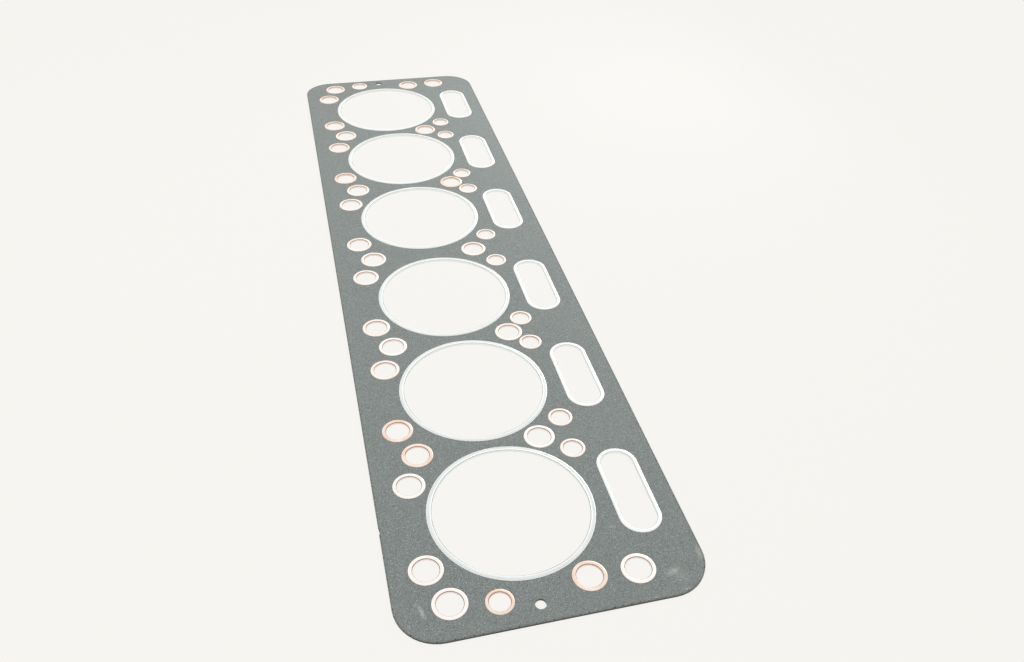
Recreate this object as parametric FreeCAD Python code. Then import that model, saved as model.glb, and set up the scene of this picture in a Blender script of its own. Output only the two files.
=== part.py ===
import FreeCAD, Part
import math
import os

# The cylinder head gasket of an in-line six-cylinder diesel engine, lying flat.
# A perforated steel core carries a soft graphite facing on each side. The six
# cylinder bores and the six long ports are edged with folded steel rings, and
# the bolt holes and the small round ports with folded copper eyelets. Each ring
# is one strip, folded round the edge of its hole into a C section: a wall that
# lines the hole and a flange on each face, half sunk in the facing.
#
# X runs along the engine. Y runs across it, with the long ports on the +Y side.
# Z is up. The origin is under the middle of the sheet, on the surface that the
# gasket lies on. All lengths are in millimetres.

# Sheet stack
core_thickness = 0.3
facing_thickness = 0.6

# Cylinder bores and their fire rings
cylinders = 6
fire_bore = 101.0
fire_flange = 3.5
fire_strip = 0.25
fire_proud = 0.15
fire_fold = 0.6
fire_bead_rise = 0.1
fire_bead_run = 0.7
bore_web = 7.5
middle_web = 16.0

# Long ports and their rings
port_width = 22.2
port_length = 66.6
port_flange = 2.8
port_strip = 0.25
port_proud = 0.15
port_fold = 0.55
port_web = 11.1

# Copper eyelets of the bolt holes
bolt_hole = 16.2
bolt_flange = 2.55
# Copper eyelets of the small round ports
small_hole = 13.0
small_flange = 2.1
eyelet_strip = 0.2
eyelet_proud = 0.15
eyelet_fold = 0.6

# Webs of sheet that are left between two flanges
bolt_to_fire_web = 12.3
outer_bolt_web = 5.9
outer_bolt_angle = 20.7
inner_bolt_to_fire_webs = [7.9, 6.0, 2.5]
small_to_bolt_webs = [7.0, 1.4, 5.6]
small_to_bolt_angles = [37.6, 41.9, 52.2]

# Ends of the sheet, by angle round the last bore and web to its flange
end_bolt_angles = [-60.5, -40.5, 29.6, 46.6]
end_bolt_webs = [5.1, 14.1, 3.3, 23.2]
end_small_angle = -19.3
end_small_web = 6.1
# The -X end is shorter than the +X end, which these two lists give in that order
dowel_webs = [10.7, 14.1]
end_margins = [5.9, 8.5]
dowel_hole = 6.8

# Edges of the sheet
bolt_side_margin = 12.9
port_side_margin = 13.8
corner_radius = 27.0

# Clearances
edge_gap = 0.1
seat_gap = 0.1

# Perforations of the core, cut open where the outline runs through them
perforation = 1.6
perforation_pitch = 5.2

# Bevel of each flange's outer lip
lip_run = 0.5
lip_drop = 0.15

# Wear on the bolt side: two nicks in the edge of the sheets, by place, depth and the run of
# their slopes towards -X and +X
nicks = [(291.0, 0.9, 4.0, 1.4), (308.0, 0.4, 1.2, 0.8)]

stack = core_thickness + 2 * facing_thickness
height = stack + 2 * (fire_proud + fire_bead_rise)
middle = height / 2

fire_outer = fire_bore / 2 + fire_flange
port_outer = port_width / 2 + port_flange
bolt_outer = bolt_hole / 2 + bolt_flange
small_outer = small_hole / 2 + small_flange
port_straight = port_length - port_width


def bore_places():
    """The x of each bore, from -X to +X. The web is wider at the middle of the row."""
    x = middle_web / 2 + fire_outer
    half = []
    for number in range(cylinders // 2):
        half.append(x)
        x += 2 * fire_outer + bore_web
    return sorted(-x for x in half) + half


def gap_places():
    """The x halfway between each two bores, from the middle of the row outwards."""
    bores = bore_places()[cylinders // 2 :]
    return [0.0] + [(a + b) / 2 for a, b in zip(bores, bores[1:])]


def off_bores(web, gap):
    """How far to the side of the bore line a bolt eyelet in a gap clears both fire rings."""
    reach = fire_outer + web + bolt_outer
    across = min(abs(x - gap) for x in bore_places())
    return math.sqrt(reach**2 - across**2)


def beside(x, y, reach, angle):
    """The place at this reach and angle from x, y, in degrees from +X."""
    turn = math.radians(angle)
    return x + reach * math.cos(turn), y + reach * math.sin(turn)


def mirrored(places):
    """The same places at both ends of the gasket, with those on the middle once."""
    both = [(-x, y) for x, y in places if x > edge_gap]
    return sorted(both + places)


def bolt_places():
    """Centres of the bolt holes: four in each gap, and four at each end of the row."""
    places = []
    step = 2 * bolt_outer + outer_bolt_web
    low = -off_bores(bolt_to_fire_web, gap_places()[-1])
    for gap, inner_web in zip(gap_places(), inner_bolt_to_fire_webs):
        places.append((gap, low))
        places.append(beside(gap, low, step, -outer_bolt_angle))
        if gap:
            places.append(beside(gap, low, step, outer_bolt_angle - 180))
        places.append((gap, off_bores(inner_web, gap)))
    for angle, web in zip(end_bolt_angles, end_bolt_webs):
        places.append(beside(bore_places()[-1], 0, fire_outer + web + bolt_outer, angle))
    return mirrored(places)


def small_places():
    """Centres of the small ports: two beside each bolt hole of the port side, one at each end."""
    places = []
    rows = zip(gap_places(), inner_bolt_to_fire_webs, small_to_bolt_webs, small_to_bolt_angles)
    for gap, inner_web, web, angle in rows:
        high = off_bores(inner_web, gap)
        reach = bolt_outer + web + small_outer
        places.append(beside(gap, high, reach, angle))
        if gap:
            places.append(beside(gap, high, reach, 180 - angle))
    reach = fire_outer + end_small_web + small_outer
    places.append(beside(bore_places()[-1], 0, reach, end_small_angle))
    return mirrored(places)


port_y = fire_outer + port_web + port_outer
last_flange = bore_places()[-1] + fire_outer
dowel_reach = [last_flange + web + dowel_hole / 2 for web in dowel_webs]
end_reach = [x + dowel_hole / 2 + margin for x, margin in zip(dowel_reach, end_margins)]
bolt_side_y = min(y for x, y in bolt_places()) - bolt_outer - bolt_side_margin
port_side_y = port_y + port_outer + port_side_margin

# The middle of the row of bores, in the frame whose origin is under the middle of the sheet
row_middle = (end_reach[0] - end_reach[1]) / 2
bore_line = -(bolt_side_y + port_side_y) / 2
dowel_places = [row_middle - dowel_reach[0], row_middle + dowel_reach[1]]


def chain(start, steps):
    """Edges from a start point. Each step is an end point, or a point on an arc and its end."""
    edges = []
    for step in steps:
        if len(step) == 1:
            edges.append(Part.LineSegment(start, step[0]).toShape())
        else:
            edges.append(Part.Arc(start, step[0], step[1]).toShape())
        start = step[-1]
    return edges


def closed(steps):
    """A closed wire of such steps, which begins where its last step ends."""
    return Part.Wire(chain(steps[-1][-1], steps))


def folded_section(bore, flange, strip, proud, fold, rise=0.0, run=0.0):
    """The C section of a ring, as a face across the hole's edge in the XZ plane.

    The strip lines the hole, turns over each face of the stack and ends in a bevelled lip.
    A fire ring's fold stands above its flange as a rounded bead, which slopes down to it.
    """
    band = middle + stack / 2 + proud
    crown = band + rise
    tip = bore + flange
    centre = FreeCAD.Vector(bore + fold, 0, crown - fold)
    halfway = FreeCAD.Vector(-1, 0, 1).normalize()
    inner_fold = fold - strip

    def at(r, z):
        return [FreeCAD.Vector(r, 0, z)]

    over = [
        at(bore, crown - fold),
        [centre + halfway * fold] + at(bore + fold, crown),
        at(bore + fold + run, band),
        at(tip - lip_run, band),
        at(tip, band - lip_drop),
        at(tip, band - strip),
        at(bore + fold + run, band - strip),
        at(bore + fold, crown - strip),
        [centre + halfway * inner_fold] + at(bore + strip, crown - fold),
        at(bore + strip, middle),
    ]
    if not run:
        over = over[:2] + over[3:7] + over[8:]
    upper = Part.Wire(chain(at(bore, middle)[0], over))
    lower = upper.mirror(FreeCAD.Vector(0, 0, middle), FreeCAD.Vector(0, 0, 1))
    return Part.Face(Part.Wire(Part.__sortEdges__(upper.Edges + lower.Edges)))


def folded_ring(section, straight=0.0):
    """The section carried round a circle, or round a slot with two straight sides along X."""
    axis = FreeCAD.Vector(0, 0, 1)
    if not straight:
        return section.revolve(FreeCAD.Vector(), axis, 360).removeSplitter()
    start = section.rotated(FreeCAD.Vector(), axis, -90)
    start.translate(FreeCAD.Vector(straight / 2, 0, 0))
    end = start.revolve(FreeCAD.Vector(straight / 2, 0, 0), axis, 180)
    side = start.extrude(FreeCAD.Vector(-straight, 0, 0))
    others = [piece.rotated(FreeCAD.Vector(), axis, 180) for piece in (end, side)]
    return end.fuse([side] + others).removeSplitter()


def round_wire(x, y, z, radius):
    """A circle round x, y in the bore row's own frame."""
    centre = FreeCAD.Vector(x + row_middle, y + bore_line, z)
    return Part.Wire(Part.makeCircle(radius, centre))


def slot_wire(x, y, z, radius, straight):
    """A slot with round ends round x, y in the bore row's own frame."""
    x += row_middle
    y += bore_line
    left, right = x - straight / 2, x + straight / 2
    low, high = y - radius, y + radius
    point = FreeCAD.Vector
    return closed(
        [
            [point(right, low, z)],
            [point(right + radius, y, z), point(right, high, z)],
            [point(left, high, z)],
            [point(left - radius, y, z), point(left, low, z)],
        ]
    )


def hole_wires(z):
    """Every hole of the sheets at height z, open as far as the folds of its ring need."""
    fire = fire_bore / 2 + fire_fold + edge_gap
    port = port_width / 2 + port_fold + edge_gap
    bolt = bolt_hole / 2 + eyelet_fold + edge_gap
    small = small_hole / 2 + eyelet_fold + edge_gap
    wires = [round_wire(x, 0, z, fire) for x in bore_places()]
    wires += [slot_wire(x, port_y, z, port, port_straight) for x in bore_places()]
    wires += [round_wire(x, y, z, bolt) for x, y in bolt_places()]
    wires += [round_wire(x, y, z, small) for x, y in small_places()]
    wires += [round_wire(x - row_middle, 0, z, dowel_hole / 2) for x in dowel_places]
    return wires


def seats(face_z, inward):
    """The recesses that the flanges lie in, cut inward from the facing's outer face."""

    def sunk(wire, strip, proud):
        return Part.Face(wire).extrude(FreeCAD.Vector(0, 0, inward * (strip - proud)))

    cuts = []
    for x in bore_places():
        ring = round_wire(x, 0, face_z, fire_outer + seat_gap)
        cuts.append(sunk(ring, fire_strip, fire_proud))
        ring = slot_wire(x, port_y, face_z, port_outer + seat_gap, port_straight)
        cuts.append(sunk(ring, port_strip, port_proud))
    for places, outer in ((bolt_places(), bolt_outer), (small_places(), small_outer)):
        for x, y in places:
            ring = round_wire(x, y, face_z, outer + seat_gap)
            cuts.append(sunk(ring, eyelet_strip, eyelet_proud))
    return cuts


def outline(z, notch=0.0):
    """The sheet's outline at height z, a rectangle with round corners.

    With a notch radius, half a perforation opens into each straight edge at every pitch.
    """
    low, high = bolt_side_y + bore_line, port_side_y + bore_line
    end_x = sum(end_reach) / 2
    turn = corner_radius * (1 - math.sqrt(0.5))
    point = FreeCAD.Vector
    corners = [
        (point(end_x, low, z), point(1, 0, 0), point(0, 1, 0)),
        (point(end_x, high, z), point(0, 1, 0), point(-1, 0, 0)),
        (point(-end_x, high, z), point(-1, 0, 0), point(0, -1, 0)),
        (point(-end_x, low, z), point(0, -1, 0), point(1, 0, 0)),
    ]
    steps = []
    for (corner, came, goes), (following, _, _) in zip(corners, corners[1:] + corners[:1]):
        begin = corner + goes * corner_radius
        finish = following - goes * corner_radius
        steps.append([corner - came * turn + goes * turn, begin])
        if notch:
            steps += notched_side(begin, finish, goes, notch)
        steps.append([finish])
    return closed(steps)


def notched_side(begin, finish, along, notch):
    """Steps of a straight side with half round notches, spaced evenly about its middle."""
    inward = FreeCAD.Vector(0, 0, 1).cross(along)
    length = (finish - begin).Length
    count = int((length - 2 * notch) / perforation_pitch)
    first = (length - (count - 1) * perforation_pitch) / 2
    steps = []
    for number in range(count):
        centre = begin + along * (first + number * perforation_pitch)
        steps.append([centre - along * notch])
        steps.append([centre + inward * notch, centre + along * notch])
    return steps


def sheet_plan(z, notch=0.0):
    """The face that a sheet is cut to, with all its holes."""
    return Part.makeFace([outline(z, notch)] + hole_wires(z), "Part::FaceMakerBullseye")


def core():
    """The perforated steel sheet that carries the facings."""
    z = middle - core_thickness / 2
    plan = sheet_plan(z, perforation / 2)
    return plan.extrude(FreeCAD.Vector(0, 0, core_thickness)).cut(worn_away())


def worn_away():
    """The wedges that the nicks take out of the edge of the bolt side, through every sheet."""
    edge = bolt_side_y + bore_line
    wedges = []
    for x, depth, before, after in nicks:
        corners = [(x - before, edge), (x, edge + depth), (x + after, edge)]
        steps = [[FreeCAD.Vector(a, b, 0)] for a, b in corners]
        wedges.append(Part.Face(closed(steps)).extrude(FreeCAD.Vector(0, 0, height)))
    return Part.makeCompound(wedges)


def facing(side):
    """A soft facing, above the core for side 1 and below it for side -1."""
    inner_z = middle + side * core_thickness / 2
    face_z = middle + side * stack / 2
    plan = sheet_plan(inner_z)
    sheet = plan.extrude(FreeCAD.Vector(0, 0, side * facing_thickness))
    return sheet.cut(Part.makeCompound(seats(face_z, -side) + [worn_away()]))


def rings():
    """Every ring and eyelet with its name, in its hole."""
    fire = folded_ring(
        folded_section(
            fire_bore / 2, fire_flange, fire_strip, fire_proud, fire_fold,
            fire_bead_rise, fire_bead_run,
        )
    )
    port = folded_ring(
        folded_section(port_width / 2, port_flange, port_strip, port_proud, port_fold),
        port_straight,
    )
    bolt = folded_ring(
        folded_section(bolt_hole / 2, bolt_flange, eyelet_strip, eyelet_proud, eyelet_fold)
    )
    small = folded_ring(
        folded_section(small_hole / 2, small_flange, eyelet_strip, eyelet_proud, eyelet_fold)
    )
    kinds = [
        ("fire_ring", fire, [(x, 0) for x in bore_places()]),
        ("port_ring", port, [(x, port_y) for x in bore_places()]),
        ("bolt_eyelet", bolt, bolt_places()),
        ("small_eyelet", small, small_places()),
    ]
    named = {}
    for name, shape, places in kinds:
        for number, (x, y) in enumerate(places, 1):
            place = FreeCAD.Vector(x + row_middle, y + bore_line, 0)
            named[f"{name}_{number}"] = shape.translated(place)
    return named


nodes = {"carrier_sheet": core(), "upper_facing": facing(1), "lower_facing": facing(-1)}
nodes.update(rings())

os.makedirs("parts", exist_ok=True)
for name, shape in nodes.items():
    shape.exportStep(f"parts/{name}.step")
    print(name, len(shape.Solids), shape.isValid(), round(shape.Volume, 2))
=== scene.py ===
# %% [markdown]
# # A cylinder head gasket
# The gasket of an in-line six-cylinder diesel engine, lying flat on a pale floor. A thin
# perforated steel core carries a soft graphite facing on each side. Folded steel rings
# edge the cylinder bores and the long ports, and folded copper eyelets edge the bolt holes
# and the small round ports. The CAD model holds every shape, so this script gives each
# piece its finish, adds the small steel tangs that show at the cut edge, and sets up the
# light and the camera.

# %% The frame and the tools
import math

import bmesh
import bpy
from mathutils import Matrix, Vector


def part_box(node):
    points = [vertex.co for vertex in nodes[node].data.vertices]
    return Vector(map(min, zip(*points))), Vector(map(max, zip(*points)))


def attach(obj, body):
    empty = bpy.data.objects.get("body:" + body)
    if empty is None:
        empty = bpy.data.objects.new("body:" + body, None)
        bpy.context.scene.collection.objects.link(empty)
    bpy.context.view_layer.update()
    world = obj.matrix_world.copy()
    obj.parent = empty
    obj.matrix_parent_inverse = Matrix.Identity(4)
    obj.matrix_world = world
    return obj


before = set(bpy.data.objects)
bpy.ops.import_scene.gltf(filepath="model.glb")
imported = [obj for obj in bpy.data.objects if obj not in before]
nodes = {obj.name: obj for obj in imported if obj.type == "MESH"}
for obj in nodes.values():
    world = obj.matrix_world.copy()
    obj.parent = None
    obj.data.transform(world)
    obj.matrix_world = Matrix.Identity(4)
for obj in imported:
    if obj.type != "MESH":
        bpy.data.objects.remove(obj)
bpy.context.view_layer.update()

MM = 0.001

# %% [markdown]
# ## Colours and nodes
# A finish is a tree of nodes. It could be drawn by hand in the node editor, but in a script
# each value has its place and its reason, and the result is the same on every run. Colours
# are written as they look on a screen, in sRGB hex, and one function turns them into the
# linear values that the renderer works in. Another adds a node with its settings and its
# links, so that each tree reads as a list, and a third sets the inputs of a node.

# %% Three helpers


def colour(code):
    """An sRGB hex colour as linear red, green, blue and alpha."""
    parts = [int(code[i : i + 2], 16) / 255 for i in (0, 2, 4)]
    return [c / 12.92 if c <= 0.04045 else ((c + 0.055) / 1.055) ** 2.4 for c in parts] + [1.0]


def feed(tree, node, inputs):
    """Sets a node's inputs, given by name or by number among those that the node shows.

    Each takes a value, an output socket, or another node, whose first output is used.
    """
    shown = [socket for socket in node.inputs if socket.enabled]
    for key, value in inputs.items():
        socket = shown[key] if isinstance(key, int) else next(s for s in shown if s.name == key)
        if isinstance(value, bpy.types.Node):
            value = next(output for output in value.outputs if output.enabled)
        if isinstance(value, bpy.types.NodeSocket):
            tree.links.new(value, socket)
        else:
            socket.default_value = value


def add(tree, kind, inputs=None, **settings):
    """A new node with its settings and its inputs."""
    node = tree.nodes.new(kind)
    for name, value in settings.items():
        setattr(node, name, value)
    feed(tree, node, inputs or {})
    return node


print("a screen's mid grey is", round(colour("808080")[0], 3), "in linear light")

# %% [markdown]
# ## What the finishes share
# Each finish starts from the shader that Blender gives a new material, and reads its
# patterns from the Object coordinates of its piece. They lie evenly on every face, so
# nothing has to be unwrapped and no seam shows, as it would with a picture laid round the
# piece. A pattern's scale is a real size: a noise texture with scale 1 / size has features
# about that size across. A mask goes from 0 to 1 and says where one tone gives way to the
# next, and a finish lays its tones over each other in that way.

# %% Patterns and layers


def pattern(size_mm, detail=2.0, roughness=0.5):
    """The settings of a noise with features about size_mm across."""
    return {"Scale": 1 / (size_mm * MM), "Detail": detail, "Roughness": roughness}


def patches(tree, place, grain, start, end, least=0.0, most=1.0):
    """Soft patches of noise: least where it is below start, and most where it is above end."""
    noise = add(tree, "ShaderNodeTexNoise", {"Vector": place, **grain})
    span = {"Value": noise, "From Min": start, "From Max": end, "To Min": least, "To Max": most}
    return add(tree, "ShaderNodeMapRange", span)


def relief(tree, place, grain, depth_mm, strength=1.0):
    """A surface normal roughened by noise of this grain, with dents about depth_mm deep."""
    noise = add(tree, "ShaderNodeTexNoise", {"Vector": place, **grain})
    dents = {"Height": noise, "Distance": depth_mm * MM, "Strength": strength}
    return add(tree, "ShaderNodeBump", dents)


def layered(tree, base, layers):
    """The base tone with other tones laid over it in turn, each where its mask is 1."""
    tone = colour(base)
    for mask, code in layers:
        both = {"Factor": mask, "A": tone, "B": colour(code)}
        tone = add(tree, "ShaderNodeMix", both, data_type="RGBA")
    return tone


print("a pattern with features of 1 mm has scale", round(pattern(1.0)["Scale"]))

# %% The start of a finish


def start_finish(name, metallic, roughness):
    """A new material, its tree and shader, and the place on the piece that patterns read."""
    material = bpy.data.materials.new(name)
    material.use_nodes = True
    tree = material.node_tree
    shader = tree.nodes["Principled BSDF"]
    feed(tree, shader, {"Metallic": metallic, "Roughness": roughness})
    place = add(tree, "ShaderNodeTexCoord").outputs["Object"]
    return material, tree, shader, place


def tilted(tree, start, end, low=0.0, high=1.0):
    """Goes from low to high as the surface tilts from start to end.

    A surface that looks straight up or down counts as 1, and an upright wall as 0.
    """
    normal = add(tree, "ShaderNodeTexCoord").outputs["Normal"]
    z = add(tree, "ShaderNodeSeparateXYZ", {0: normal}).outputs["Z"]
    level = add(tree, "ShaderNodeMath", {0: z}, operation="ABSOLUTE")
    span = {"Value": level, "From Min": start, "From Max": end, "To Min": low, "To Max": high}
    return add(tree, "ShaderNodeMapRange", span)


print(len(nodes), "pieces wait for their finish")

# %% [markdown]
# ## The graphite facing
# The facing is a soft sheet of pressed graphite and mineral fibre, rolled onto the core
# and given a thin release coat. It looks matte grey with a cool green cast. Light fibres
# and dark pores make a fine grain. The real grain is too fine to show in the render, so it
# is drawn at about 0.4 mm, with a paler fibre end here and there. The last millimetre
# before the outline is darker where the die pressed it. The cut wall is painted darkest,
# partly for the graphite that the blade smears and partly as painted shade on the wall.
# Handling has rubbed pale scuffs near the corners.
# A painted picture could hold all of this, but only at one size, and noise stays sharp at
# any distance.

# %% The facing's tones and sizes
FACING_DARK = "535956"
FACING_PALE = "A4AAA6"
FACING_CLOUD = "8F9591"
FACING_FLECK = "C6CAC4"
# Dark tone of the pressed border, and of the cut wall, where it is partly painted shade
FACING_EDGE_AND_WALL_SHADE = "3F3E3B"
SCUFF_PALE = "D4D6D0"

FACING_GRAIN = pattern(0.38, 1.0)
FACING_CLOUDS = pattern(45.0)
SCUFF_GRAIN = pattern(0.9, 3.0, 0.7)
CORNER_RADIUS = 27.0 * MM

sheet_low, sheet_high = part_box("upper_facing")
print("the upper facing lies from z", round(sheet_low.z / MM, 2), "to", round(sheet_high.z / MM, 2))

# %% Scuffs

# Each has its centre and its half length, width and depth in mm, its turn in degrees and
# its strength
SCUFFS = [
    ((352, -79, 1.7), (7, 1.7, 4), 16, 1.2),
    ((357, 72, 1.7), (6, 3.0, 4), 110, 0.9),
    ((361, 76, 1.7), (9, 6.0, 4), 20, 0.3),
    ((370.5, 75.5, 1.7), (4, 0.8, 4), 106, 0.9),
    ((371.8, 56, 1.7), (3, 0.7, 4), 90, 0.8),
    ((347.5, 93.2, 1.7), (8, 2.4, 4), -6, 0.8),
    ((317.4, 46.8, 1.7), (1.8, 0.6, 4), 90, 2.0),
]


def scuff(tree, place, centre_mm, size_mm, turn_deg, strength):
    """A mask for a rubbed streak: strong in its middle and broken up by fine noise."""
    ellipsoid = {
        "Vector": place,
        "Location": Vector(centre_mm) * MM,
        "Rotation": (0, 0, math.radians(turn_deg)),
        "Scale": Vector(size_mm) * MM,
    }
    local = add(tree, "ShaderNodeMapping", ellipsoid, vector_type="TEXTURE")
    away = add(tree, "ShaderNodeVectorMath", {0: local}, operation="LENGTH")
    streak = add(tree, "ShaderNodeMapRange", {"Value": away, "From Min": 1.0, "From Max": 0.0})
    broken = patches(tree, place, SCUFF_GRAIN, 0.4, 0.6)
    rubbed = add(tree, "ShaderNodeMath", {0: streak, 1: broken}, operation="MULTIPLY")
    return add(tree, "ShaderNodeMath", {0: rubbed, 1: strength}, operation="MULTIPLY")


print(len(SCUFFS), "scuffs")

# %% The border and the flecks
PRESSED_BORDER = 1.3 * MM
DARKEST_BORDER = 0.2 * MM
BORDER_STRENGTH = 0.35
FLECK_SPACING = 2.0 * MM
FLECK_STRENGTH = 0.7

# Where a fleck fades out and where it is full, as shares of the spacing
FLECK_RADIUS = (0.2, 0.12)


def pressed_border(tree, place):
    """A mask for the border that the die has pressed, strongest beside the outline."""
    middle = (sheet_high + sheet_low) / 2
    reach = (sheet_high - sheet_low) / 2 - Vector((CORNER_RADIUS, CORNER_RADIUS, 0))
    away = add(tree, "ShaderNodeVectorMath", {0: place, 1: middle}, operation="SUBTRACT")
    away = add(tree, "ShaderNodeVectorMath", {0: away}, operation="ABSOLUTE")
    away = add(tree, "ShaderNodeVectorMath", {0: away, 1: reach}, operation="SUBTRACT")
    away = add(tree, "ShaderNodeVectorMath", {0: away, 1: (0, 0, 0)}, operation="MAXIMUM")
    away = add(tree, "ShaderNodeVectorMath", {0: away, 1: (1, 1, 0)}, operation="MULTIPLY")
    past = add(tree, "ShaderNodeVectorMath", {0: away}, operation="LENGTH")
    inside = add(tree, "ShaderNodeMath", {0: CORNER_RADIUS, 1: past}, operation="SUBTRACT")
    span = {"Value": inside, "From Min": PRESSED_BORDER, "From Max": DARKEST_BORDER}
    return add(tree, "ShaderNodeMapRange", {**span, "To Max": BORDER_STRENGTH})


def fibre_ends(tree, place):
    """A mask of small dots, one in each cell of a Voronoi texture."""
    cells = add(tree, "ShaderNodeTexVoronoi", {"Vector": place, "Scale": 1 / FLECK_SPACING})
    outer, inner = FLECK_RADIUS
    span = {"Value": cells.outputs["Distance"], "From Min": outer, "From Max": inner}
    return add(tree, "ShaderNodeMapRange", {**span, "To Max": FLECK_STRENGTH})


print("the pressed border is", round(PRESSED_BORDER / MM, 2), "mm wide")

# %% The facing's finish

# How level the surface is where the cut wall starts and where it has taken over: a face
# that looks straight up is 1 and a wall 0
CUT_WALL = (0.7, 0.3)


def graphite_facing():
    """Rolled graphite composite: matte grey, a little duller where the grain is pale."""
    material, tree, shader, place = start_finish("graphite_composite_facing", 0.0, 0.62)
    layers = [
        (patches(tree, place, FACING_GRAIN, 0.3, 0.7), FACING_PALE),
        (patches(tree, place, FACING_CLOUDS, 0.3, 0.7, most=0.15), FACING_CLOUD),
        (fibre_ends(tree, place), FACING_FLECK),
    ]
    layers += [(scuff(tree, place, *values), SCUFF_PALE) for values in SCUFFS]
    # The cut wall gets the dark tone partly for the smeared graphite and partly as painted shade
    layers += [(pressed_border(tree, place), FACING_EDGE_AND_WALL_SHADE), (tilted(tree, *CUT_WALL), FACING_EDGE_AND_WALL_SHADE)]
    look = {
        "Base Color": layered(tree, FACING_DARK, layers),
        "Roughness": patches(tree, place, FACING_GRAIN, 0.3, 0.7, 0.45, 0.6),
        "Normal": relief(tree, place, FACING_GRAIN, 0.06, 0.6),
    }
    feed(tree, shader, look)
    return material


facing_finish = graphite_facing()
for name in ("upper_facing", "lower_facing"):
    nodes[name].data.materials[0] = facing_finish
print("the facings have", facing_finish.name)

# %% [markdown]
# ## The steel core
# The core is cold rolled strip, punched full of small tangs that grip the facings. Only
# its cut edge shows, as a thin dark line between the facings. One plain tone would do at
# this size, but two greys mixed by noise keep the line from looking drawn.

# %% The core's finish
CORE_DARK = "4E4F50"
CORE_PALE = "6A6B6B"


def core_steel():
    """Cold rolled steel, blanked by a die: a dull dark grey at the cut."""
    material, tree, shader, place = start_finish("cold_rolled_steel_core", 1.0, 0.45)
    worn = patches(tree, place, pattern(4.0, 3.0), 0.0, 1.0)
    look = {
        "Base Color": layered(tree, CORE_DARK, [(worn, CORE_PALE)]),
        "Normal": relief(tree, place, pattern(0.5), 0.02),
    }
    feed(tree, shader, look)
    return material


nodes["carrier_sheet"].data.materials[0] = core_steel()
print("the core has", nodes["carrier_sheet"].data.materials[0].name)

# %% [markdown]
# ## The fire rings and port rings
# They are pressed from thin strip with an aluminised coat, which stays bright, and a fine
# brushed haze and soft patches give the flange a slightly polished tone. The lip and the
# bead beside the bore are painted brighter than the flat of the flange, as a painted
# highlight. The tight turn into the hole is painted as a thin grey line of painted shade,
# and the wall below it is bright again. These zones could be painted face by face, but each
# of them tilts in its own way, so the surface normal tells them apart and the finish follows
# the fold all the way round. Only the lip tilts as part of the turn does, so its mask asks
# for the height as well.

# %% The zones of a folded ring

# The bead slope and the lip get a painted highlight, and the tight turn a painted shade line
# How level the surface is where each zone starts and where it has taken over
BEAD_SLOPE = (0.997, 0.993)
TIGHT_TURN = (0.985, 0.96)
LIP = (0.94, 0.95)
RING_WALL = (0.65, 0.5)

# The same for the dull inside of a tight turn, with the roughness before and in it
SATIN_TO_DULL = (0.94, 0.9, 0.3, 0.6)

# How far the bead stands above the flange, and how far below it the lip's mask starts and
# is full, in mm
BEAD_RISE = 0.1
LIP_DROP = (0.03, 0.05)


def below_flange(tree, place, ring, bead_mm):
    """A mask that is 1 where the surface has dropped below the flat of the ring's flange."""
    ring_low, ring_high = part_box(ring)
    middle = (ring_low.z + ring_high.z) / 2
    crown = (ring_high.z - ring_low.z) / 2
    z = add(tree, "ShaderNodeSeparateXYZ", {0: place}).outputs["Z"]
    height = add(tree, "ShaderNodeMath", {0: z, 1: middle}, operation="SUBTRACT")
    height = add(tree, "ShaderNodeMath", {0: height}, operation="ABSOLUTE")
    drop = add(tree, "ShaderNodeMath", {0: crown, 1: height}, operation="SUBTRACT")
    start, end = [(bead_mm + below) * MM for below in LIP_DROP]
    return add(tree, "ShaderNodeMapRange", {"Value": drop, "From Min": start, "From Max": end})


print("the fire ring's flange lies", BEAD_RISE, "mm below the crown of its bead")

# %% The rings' finish
RING_BRUSHED = pattern(0.8, 4.0, 0.6)
RING_CLOUDS = pattern(14.0)


def ring_steel(name, ring, bead_mm, flat, polish_and_highlight, shade_line, wall):
    """Aluminised steel strip, pressed: bright and satin, with a fine brushed haze."""
    material, tree, shader, place = start_finish(name, 1.0, 0.3)
    below = below_flange(tree, place, ring, bead_mm)
    lip_highlight = add(tree, "ShaderNodeMath", {0: tilted(tree, *LIP), 1: below}, operation="MULTIPLY")
    layers = [
        (patches(tree, place, RING_BRUSHED, 0.35, 0.65, most=0.2), polish_and_highlight),
        (patches(tree, place, RING_CLOUDS, 0.35, 0.7, most=0.3), polish_and_highlight),
        # Painted highlight on the bead slope and the lip, and painted shade in the tight turn
        (tilted(tree, *BEAD_SLOPE), polish_and_highlight),
        (tilted(tree, *TIGHT_TURN), shade_line),
        (lip_highlight, polish_and_highlight),
        (tilted(tree, *RING_WALL), wall),
    ]
    look = {
        "Base Color": layered(tree, flat, layers),
        "Roughness": tilted(tree, *SATIN_TO_DULL),
        "Normal": relief(tree, place, RING_BRUSHED, 0.02, 0.5),
    }
    feed(tree, shader, look)
    return material


# Tones of each ring: flat, polish and painted highlight, painted shade line, wall
fire_tones = ("DCE1DD", "FCFDFC", "A0A8A5", "F0F2EF")
port_tones = ("F6F8F7", "FDFEFD", "B4BCB8", "F0F2EF")
fire_finish = ring_steel("aluminised_steel_fire_ring", "fire_ring_1", BEAD_RISE, *fire_tones)
port_finish = ring_steel("aluminised_steel_port_ring", "port_ring_1", 0.0, *port_tones)
for name, node in nodes.items():
    if name.startswith("fire_ring"):
        node.data.materials[0] = fire_finish
    if name.startswith("port_ring"):
        node.data.materials[0] = port_finish
print("the rings have", fire_finish.name, "and", port_finish.name)

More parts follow.
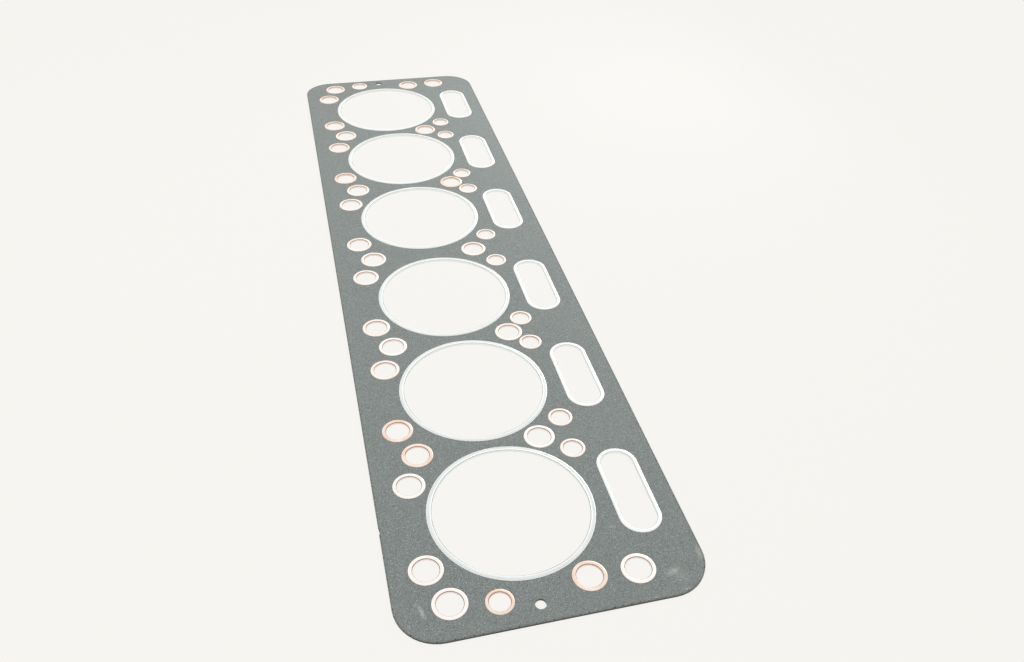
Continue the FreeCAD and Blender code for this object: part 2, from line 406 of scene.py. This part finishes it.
# %% [markdown]
# ## The copper eyelets
# Soft copper strip, bright where the tool rolled it flat. The turn into the hole is painted
# brown, as painted shade. The eyelets don't all have one colour. A random number for each
# eyelet would vary them too, but not where the real ones differ, so one function makes
# three finishes, and lists of numbers say which eyelets are the warm and the bright ones.
# A patchy noise keeps each flange from being even.

# %% The eyelets' tones
WARM_EYELETS = ["small_eyelet_12"]
WARM_EYELETS += [f"bolt_eyelet_{number}" for number in (1, 2, 3, 4, 5, 7, 8, 9, 11, 21, 22, 26)]
BRIGHT_EYELETS = [f"bolt_eyelet_{number}" for number in (18, 23, 24, 25, 27, 28)]
print(len(WARM_EYELETS), "eyelets are warm and", len(BRIGHT_EYELETS), "are bright")

# %% The eyelets' finish
COPPER_OXIDE = pattern(9.0, 1.0)
COPPER_RUBBED = pattern(0.9, 3.0)
EYELET_TURN = (0.95, 0.88)
EYELET_WALL = (0.5, 0.35)


def copper(name, pale, warm, shade_line, wall):
    """Annealed copper strip, rolled over by a tool: satin, and warmer in soft patches."""
    material, tree, shader, place = start_finish(name, 1.0, 0.36)
    layers = [
        (patches(tree, place, COPPER_OXIDE, 0.35, 0.65), warm),
        (patches(tree, place, COPPER_RUBBED, 0.4, 0.7, most=0.3), warm),
        # The turn into the hole gets a brown line of painted shade
        (tilted(tree, *EYELET_TURN), shade_line),
        (tilted(tree, *EYELET_WALL), wall),
    ]
    look = {
        "Base Color": layered(tree, pale, layers),
        "Roughness": tilted(tree, *SATIN_TO_DULL),
        "Normal": relief(tree, place, COPPER_RUBBED, 0.02, 0.5),
    }
    feed(tree, shader, look)
    return material


# Tones: flange, warm patches, painted shade line at the turn, wall
bright_copper = copper("bright_copper_eyelet", "FEFAF6", "FDF3EB", "75594A", "F6E9E2")
pale_copper = copper("pale_copper_eyelet", "FDF3EC", "F9E8DE", "785A4A", "F4E3DA")
warm_copper = copper("warm_copper_eyelet", "FAEADF", "F3D6C2", "80523C", "F2DBCD")
for name, node in nodes.items():
    if name in WARM_EYELETS:
        node.data.materials[0] = warm_copper
    elif name in BRIGHT_EYELETS:
        node.data.materials[0] = bright_copper
    elif "eyelet" in name:
        node.data.materials[0] = pale_copper
print("the eyelets have", bright_copper.name, pale_copper.name, "and", warm_copper.name)

# %% [markdown]
# ## The tangs at the cut edge
# Where the outline was cut through a row of perforations, a torn tang of core steel shows
# at the edge as a small dark spot, every few millimetres along the sheet. The spots could
# be copied one by one, but they follow a rule, so Geometry Nodes make them from one small
# shape: the path is the sheet's outline, resampled at the pitch of the perforations, and
# each tang gets a random size so that no two look alike.

# %% The outline as a path
CORNER_STEPS = 8


def outline_path(z, inset):
    """A closed poly curve at height z that runs inside the sheet's outline by the inset."""
    x_low, y_low = sheet_low.x + inset, sheet_low.y + inset
    x_high, y_high = sheet_high.x - inset, sheet_high.y - inset
    radius = CORNER_RADIUS - inset
    points = []
    corners = [(x_high, y_low, -90), (x_high, y_high, 0), (x_low, y_high, 90), (x_low, y_low, 180)]
    for x, y, start in corners:
        centre = Vector((x - math.copysign(radius, x), y - math.copysign(radius, y), z))
        for step in range(CORNER_STEPS + 1):
            turn = math.radians(start + 90 * step / CORNER_STEPS)
            points.append(centre + radius * Vector((math.cos(turn), math.sin(turn), 0)))
    curve = bpy.data.curves.new("outline_path", "CURVE")
    curve.dimensions = "3D"
    spline = curve.splines.new("POLY")
    spline.points.add(len(points) - 1)
    for target, point in zip(spline.points, points):
        target.co = (*point, 1)
    spline.use_cyclic_u = True
    holder = bpy.data.objects.new("outline_path", curve)
    bpy.context.scene.collection.objects.link(holder)
    return holder


print("the path turns each corner in", CORNER_STEPS, "steps")

# %% The tangs' finish
TANG_DARK = "1F1E1C"
TANG_PALE = "3A3936"


def tang_steel():
    """Torn steel smeared with graphite: nearly black, because its rough faces trap light."""
    material, tree, shader, place = start_finish("torn_steel_tang", 0.6, 0.6)
    tone = patches(tree, place, pattern(1.0), 0.0, 1.0)
    feed(tree, shader, {"Base Color": layered(tree, TANG_DARK, [(tone, TANG_PALE)])})
    return material


tang_finish = tang_steel()
print("the tangs have", tang_finish.name)

# %% One tang
TANG_LENGTH = 1.0 * MM
TANG_WIDTH_SHARE = 0.85
TANG_HEIGHT_SHARE = 0.34
TANG_TEAR = 0.18


def single_tang():
    """A low lump with a torn edge. Its Z goes along the path and its Y upwards."""
    mesh = bpy.data.meshes.new("tang")
    form = bmesh.new()
    bmesh.ops.create_icosphere(form, subdivisions=2, radius=TANG_LENGTH / 2)
    for vertex in form.verts:
        x, y, z = vertex.co
        ragged = 1 + TANG_TEAR * math.sin(9 * z / MM) * math.cos(7 * x / MM)
        vertex.co = Vector((x * TANG_WIDTH_SHARE, y * TANG_HEIGHT_SHARE, z * ragged))
    form.to_mesh(mesh)
    form.free()
    shape = bpy.data.objects.new("tang", mesh)
    bpy.context.scene.collection.objects.link(shape)
    return shape


print("a tang is up to", round(TANG_LENGTH / MM, 2), "mm long before its tear")

# %% The node tree that repeats it
TANG_SIZES = {"Pitch": 5.2 * MM, "Least size": 0.55, "Most size": 1.0}
TANG_SEED = 7


def tang_tree(shape):
    """A tree that sets one tang at every pitch of a path, turned along it."""
    tree = bpy.data.node_groups.new("tangs_along_outline", "GeometryNodeTree")
    tree.interface.new_socket("Path", in_out="INPUT", socket_type="NodeSocketGeometry")
    for name, value in TANG_SIZES.items():
        socket = tree.interface.new_socket(name, in_out="INPUT", socket_type="NodeSocketFloat")
        socket.default_value = value
    tree.interface.new_socket("Tangs", in_out="OUTPUT", socket_type="NodeSocketGeometry")
    given = add(tree, "NodeGroupInput").outputs
    steps = {"Curve": given["Path"], "Length": given["Pitch"]}
    points = add(tree, "GeometryNodeCurveToPoints", steps, mode="LENGTH")
    tang = add(tree, "GeometryNodeObjectInfo", {"Object": shape}, transform_space="ORIGINAL")
    limits = {"Min": given["Least size"], "Max": given["Most size"], "Seed": TANG_SEED}
    put = {
        "Points": points,
        "Instance": tang.outputs["Geometry"],
        "Rotation": points.outputs["Rotation"],
        "Scale": add(tree, "FunctionNodeRandomValue", limits, data_type="FLOAT"),
    }
    placed = add(tree, "GeometryNodeInstanceOnPoints", put)
    real = add(tree, "GeometryNodeRealizeInstances", {"Geometry": placed})
    done = add(tree, "GeometryNodeSetMaterial", {"Geometry": real, "Material": tang_finish})
    add(tree, "NodeGroupOutput", {"Tangs": done})
    return tree


print("the tangs stand", round(TANG_SIZES["Pitch"] / MM, 2), "mm apart")

# %% Tangs on both faces
TANG_INSET = 0.5 * MM
TANG_SINK = 0.04 * MM


def tangs(name, z):
    """All the tangs of one face, as one plain mesh."""
    path = outline_path(z, TANG_INSET)
    shape = single_tang()
    modifier = path.modifiers.new("tangs", "NODES")
    modifier.node_group = tang_tree(shape)
    graph = bpy.context.evaluated_depsgraph_get()
    mesh = bpy.data.meshes.new_from_object(path.evaluated_get(graph))
    piece = bpy.data.objects.new(name, mesh)
    bpy.context.scene.collection.objects.link(piece)
    for helper in (path, shape):
        bpy.data.objects.remove(helper)
    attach(piece, "root")
    print(name, len(mesh.polygons), "faces")


tangs("tangs_upper", sheet_high.z - TANG_SINK)
tangs("tangs_lower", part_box("lower_facing")[0].z + TANG_SINK)

# %% [markdown]
# ## The floor and the room
# The floor is plain and pale. A floor that is only lit would darken towards its far side,
# so most of its colour is sent straight to the camera and to reflections. It stays an even
# off-white and bright metal has it to reflect, and the rest is lit, so that the gasket
# keeps its thin contact shadow. The camera sees a backdrop of the same colour beyond it.
# Reflections see a white room, a little brighter near the horizon, with a soft window low
# on one side that gives the facing its sheen.

# %% The floor
BACKDROP = "F8F6F2"
FLOOR_SIZE = 12.0
FLOOR_SHOWN = 0.93


def floor_finish():
    """Matte studio card, shown in its own colour apart from a little shade."""
    material = bpy.data.materials.new("pale_studio_floor")
    material.use_nodes = True
    tree = material.node_tree
    tree.nodes.clear()
    ray = add(tree, "ShaderNodeLightPath").outputs
    direct = {0: ray["Is Camera Ray"], 1: ray["Is Glossy Ray"]}
    seen = add(tree, "ShaderNodeMath", direct, operation="MAXIMUM")
    through = {0: seen, 1: ray["Is Transmission Ray"]}
    seen = add(tree, "ShaderNodeMath", through, operation="MAXIMUM")
    share = add(tree, "ShaderNodeMath", {0: seen, 1: FLOOR_SHOWN}, operation="MULTIPLY")
    lit = add(tree, "ShaderNodeBsdfDiffuse", {"Color": colour(BACKDROP)})
    shown = add(tree, "ShaderNodeEmission", {"Color": colour(BACKDROP), "Strength": 1.0})
    mix = add(tree, "ShaderNodeMixShader", {0: share, 1: lit, 2: shown})
    add(tree, "ShaderNodeOutputMaterial", {"Surface": mix})
    return material


def floor():
    mesh = bpy.data.meshes.new("floor")
    half = FLOOR_SIZE / 2
    corners = [(-half, -half, 0), (half, -half, 0), (half, half, 0), (-half, half, 0)]
    mesh.from_pydata(corners, [], [(0, 1, 2, 3)])
    mesh.materials.append(floor_finish())
    piece = bpy.data.objects.new("floor", mesh)
    bpy.context.scene.collection.objects.link(piece)


floor()
print("the floor is", FLOOR_SIZE, "m wide")

# %% The room
SOFT_LIGHT = "F4F6F8"
SOFT_STRENGTH = 0.55
ROOM_WHITE = "FFFFFF"

# The way to the window, the cosine of its half width as seen from the gasket, and its
# brightness above that of the room
WINDOW = (-0.727, 0.654, 0.208)
WINDOW_EDGE = 0.92
WINDOW_GLOW = 3.0

# How steep a way looks where the room starts to brighten downwards and where it is
# brightest: 1 is straight up and 0 level
HIGH_WALL = 0.76
LOW_WALL = 0.6
HORIZON_GLOW = 1.2


def studio_room():
    """A world that lights the gasket softly, mirrors as a room and shows as a backdrop."""
    world = bpy.data.worlds.new("studio")
    bpy.context.scene.world = world
    world.use_nodes = True
    tree = world.node_tree
    tree.nodes.clear()
    way = add(tree, "ShaderNodeTexCoord").outputs["Generated"]
    height = add(tree, "ShaderNodeSeparateXYZ", {0: way}).outputs["Z"]
    span = {"Value": height, "From Min": HIGH_WALL, "From Max": LOW_WALL}
    low = add(tree, "ShaderNodeMapRange", {**span, "To Min": 1.0, "To Max": HORIZON_GLOW})
    near = add(tree, "ShaderNodeVectorMath", {0: way, 1: WINDOW}, operation="DOT_PRODUCT")
    span = {"Value": near, "From Min": WINDOW_EDGE, "From Max": 1.0}
    window = add(tree, "ShaderNodeMapRange", {**span, "To Max": WINDOW_GLOW})
    glow = add(tree, "ShaderNodeMath", {0: low, 1: window}, operation="ADD")
    soft = {"Color": colour(SOFT_LIGHT), "Strength": SOFT_STRENGTH}
    lighting = add(tree, "ShaderNodeBackground", soft)
    backdrop = add(tree, "ShaderNodeBackground", {"Color": colour(BACKDROP), "Strength": 1.0})
    room = add(tree, "ShaderNodeBackground", {"Color": colour(ROOM_WHITE), "Strength": glow})
    ray = add(tree, "ShaderNodeLightPath").outputs
    direct = add(tree, "ShaderNodeMixShader", {0: ray["Is Camera Ray"], 1: lighting, 2: backdrop})
    mirrors = {0: ray["Is Glossy Ray"], 1: ray["Is Transmission Ray"]}
    mirrored = add(tree, "ShaderNodeMath", mirrors, operation="MAXIMUM")
    mix = add(tree, "ShaderNodeMixShader", {0: mirrored, 1: direct, 2: room})
    add(tree, "ShaderNodeOutputWorld", {"Surface": mix})


studio_room()
print("the window lies towards", WINDOW)

# %% [markdown]
# ## The lamps
# Three square softboxes give the shade of the photograph: one overhead, one at the side,
# and a small one near the far end, where the sheet is paler. The world alone would light
# the gasket evenly, without a direction. The lamps light the gasket but don't mirror in
# the metal, where they would burn out.

# %% Lamps


def softbox(name, place, aim, size, watts):
    """A square area lamp at place, facing aim."""
    lamp = bpy.data.lights.new(name, "AREA")
    lamp.size = size
    lamp.energy = watts
    holder = bpy.data.objects.new(name, lamp)
    holder.location = place
    direction = Vector(aim) - Vector(place)
    holder.rotation_euler = direction.to_track_quat("-Z", "Y").to_euler()
    holder.visible_camera = False
    holder.visible_glossy = False
    bpy.context.scene.collection.objects.link(holder)


softbox("overhead", (0.1, -0.5, 1.2), (0.1, 0, 0), 0.9, 5.5)
softbox("side", (-0.5, 0.75, 0.8), (-0.1, 0.1, 0), 0.6, 1.5)
softbox("far", (-0.3, 0.33, 0.25), (-0.28, 0.05, 0), 0.3, 0.6)
print("lamps:", [lamp.name for lamp in bpy.data.lights])

# %% [markdown]
# ## The camera
# A fairly wide lens close to the near end makes the far bores shrink, as in a photograph
# taken by hand over one corner. A long lens from further off would keep all the bores
# nearly alike. The camera looks at a point on the floor, and is turned a little about its
# own axis.

# %% Camera
CAMERA_PLACE = Vector((0.6440, -0.1145, 0.4481))
CAMERA_AIM = Vector((0.1145, 0.0329, 0.0))
CAMERA_ROLL = math.radians(2.57)
CAMERA_LENS = 31.37
CAMERA_SENSOR = 36.0


def photo_camera():
    lens = bpy.data.cameras.new("camera")
    lens.sensor_width = CAMERA_SENSOR
    lens.lens = CAMERA_LENS
    lens.clip_start = 0.01
    holder = bpy.data.objects.new("camera", lens)
    bpy.context.scene.collection.objects.link(holder)
    turned = (CAMERA_AIM - CAMERA_PLACE).to_track_quat("-Z", "Y").to_matrix().to_4x4()
    roll = Matrix.Rotation(CAMERA_ROLL, 4, "Z")
    holder.matrix_world = Matrix.Translation(CAMERA_PLACE) @ turned @ roll
    bpy.context.scene.camera = holder


photo_camera()
print("the camera stands", round((CAMERA_AIM - CAMERA_PLACE).length, 3), "m from its aim")
bpy.context.scene.view_settings.view_transform = "Standard"
